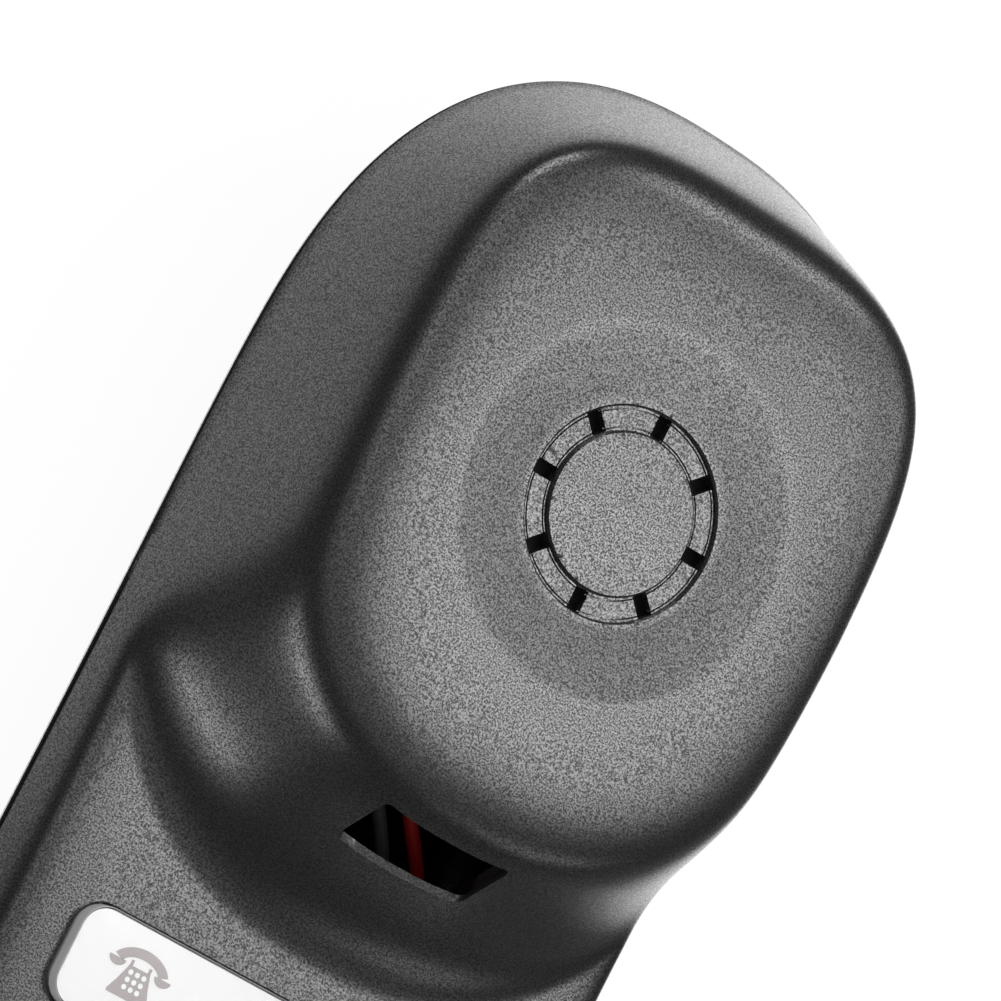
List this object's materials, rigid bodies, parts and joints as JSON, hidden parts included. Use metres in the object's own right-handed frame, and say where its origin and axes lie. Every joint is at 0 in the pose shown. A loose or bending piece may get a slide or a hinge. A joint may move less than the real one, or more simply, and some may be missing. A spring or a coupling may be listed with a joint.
{
  "type": "corded telephone handset",
  "caption": "Corded telephone handset lying on its back, with a keypad in the grip, raised ear cup with slotted sound ring, hang slot, number window and cord jack.",
  "frame": {"origin": "middle of the flat back the handset lies on, under the middle of its length", "axes": "+Y along the handset to its ear end, +Z out of the keypad face, +X to the right seen from the face with the ear end up"},
  "size_m": [0.0544, 0.205, 0.0338],
  "materials": {
    "shell_plastic": "charcoal ABS with a fine spark-eroded grain",
    "key_plastic": "satin charcoal ABS with pale printed legends",
    "lens_clear": "clear moulded lens",
    "card_white": "white printed card",
    "silicone": "translucent grey silicone",
    "board_green": "green solder mask",
    "chip_black": "black moulded package",
    "capacitor_sleeve": "dark blue sleeve",
    "crystal_can": "drawn metal can",
    "receiver_can": "dark moulded capsule",
    "gasket_foam": "black foam",
    "clamp_plastic": "black moulded bar",
    "screw_steel": "zinc-plated steel",
    "wire_red": "red insulation",
    "wire_grey": "grey insulation",
    "wire_green": "green insulation",
    "microphone_can": "drawn aluminium can",
    "boot_rubber": "black rubber",
    "jack_plastic": "black moulded plastic",
    "contact_gold": "gold-flashed spring wire"
  },
  "bodies": {
    "handset": {"front_shell": "shell_plastic", "rear_shell": "shell_plastic", "number_window": "lens_clear", "number_card": "card_white", "keypad_mat": "silicone", "main_board": "board_green", "dialler_chip": "chip_black", "capacitors": "capacitor_sleeve", "crystal": "crystal_can", "receiver": "receiver_can", "receiver_gasket": "gasket_foam", "receiver_clamp": "clamp_plastic", "clamp_screws": "screw_steel", "receiver_wire_red": "wire_red", "receiver_wire_grey": "wire_grey", "microphone": "microphone_can", "microphone_boot": "boot_rubber", "microphone_wires": "wire_grey", "modular_jack": "jack_plastic", "jack_contacts": "contact_gold", "line_wires": "wire_green", "case_screws": "screw_steel", "board_screws": "screw_steel"},
    "key_1": {"key_1": "key_plastic"},
    "key_2": {"key_2": "key_plastic"},
    "key_3": {"key_3": "key_plastic"},
    "key_4": {"key_4": "key_plastic"},
    "key_5": {"key_5": "key_plastic"},
    "key_6": {"key_6": "key_plastic"},
    "key_7": {"key_7": "key_plastic"},
    "key_8": {"key_8": "key_plastic"},
    "key_9": {"key_9": "key_plastic"},
    "key_star": {"key_star": "key_plastic"},
    "key_0": {"key_0": "key_plastic"},
    "key_hash": {"key_hash": "key_plastic"},
    "key_mute": {"key_mute": "key_plastic"},
    "key_flash": {"key_flash": "key_plastic"},
    "key_redial": {"key_redial": "key_plastic"}
  },
  "joints": [
    {"name": "key_1_press", "type": "slide", "parent": "handset", "child": "key_1", "axis": [0, 0, -1], "range_m": [0, 0.0012], "stiffness_N_per_m": 400, "springref_m": -0.0004},
    {"name": "key_2_press", "type": "slide", "parent": "handset", "child": "key_2", "axis": [0, 0, -1], "range_m": [0, 0.0012], "stiffness_N_per_m": 400, "springref_m": -0.0004},
    {"name": "key_3_press", "type": "slide", "parent": "handset", "child": "key_3", "axis": [0, 0, -1], "range_m": [0, 0.0012], "stiffness_N_per_m": 400, "springref_m": -0.0004},
    {"name": "key_4_press", "type": "slide", "parent": "handset", "child": "key_4", "axis": [0, 0, -1], "range_m": [0, 0.0012], "stiffness_N_per_m": 400, "springref_m": -0.0004},
    {"name": "key_5_press", "type": "slide", "parent": "handset", "child": "key_5", "axis": [0, 0, -1], "range_m": [0, 0.0012], "stiffness_N_per_m": 400, "springref_m": -0.0004},
    {"name": "key_6_press", "type": "slide", "parent": "handset", "child": "key_6", "axis": [0, 0, -1], "range_m": [0, 0.0012], "stiffness_N_per_m": 400, "springref_m": -0.0004},
    {"name": "key_7_press", "type": "slide", "parent": "handset", "child": "key_7", "axis": [0, 0, -1], "range_m": [0, 0.0012], "stiffness_N_per_m": 400, "springref_m": -0.0004},
    {"name": "key_8_press", "type": "slide", "parent": "handset", "child": "key_8", "axis": [0, 0, -1], "range_m": [0, 0.0012], "stiffness_N_per_m": 400, "springref_m": -0.0004},
    {"name": "key_9_press", "type": "slide", "parent": "handset", "child": "key_9", "axis": [0, 0, -1], "range_m": [0, 0.0012], "stiffness_N_per_m": 400, "springref_m": -0.0004},
    {"name": "key_star_press", "type": "slide", "parent": "handset", "child": "key_star", "axis": [0, 0, -1], "range_m": [0, 0.0012], "stiffness_N_per_m": 400, "springref_m": -0.0004},
    {"name": "key_0_press", "type": "slide", "parent": "handset", "child": "key_0", "axis": [0, 0, -1], "range_m": [0, 0.0012], "stiffness_N_per_m": 400, "springref_m": -0.0004},
    {"name": "key_hash_press", "type": "slide", "parent": "handset", "child": "key_hash", "axis": [0, 0, -1], "range_m": [0, 0.0012], "stiffness_N_per_m": 400, "springref_m": -0.0004},
    {"name": "key_mute_press", "type": "slide", "parent": "handset", "child": "key_mute", "axis": [0, 0, -1], "range_m": [0, 0.0012], "stiffness_N_per_m": 400, "springref_m": -0.0004},
    {"name": "key_flash_press", "type": "slide", "parent": "handset", "child": "key_flash", "axis": [0, 0, -1], "range_m": [0, 0.0012], "stiffness_N_per_m": 400, "springref_m": -0.0004},
    {"name": "key_redial_press", "type": "slide", "parent": "handset", "child": "key_redial", "axis": [0, 0, -1], "range_m": [0, 0.0012], "stiffness_N_per_m": 400, "springref_m": -0.0004}
  ]
}
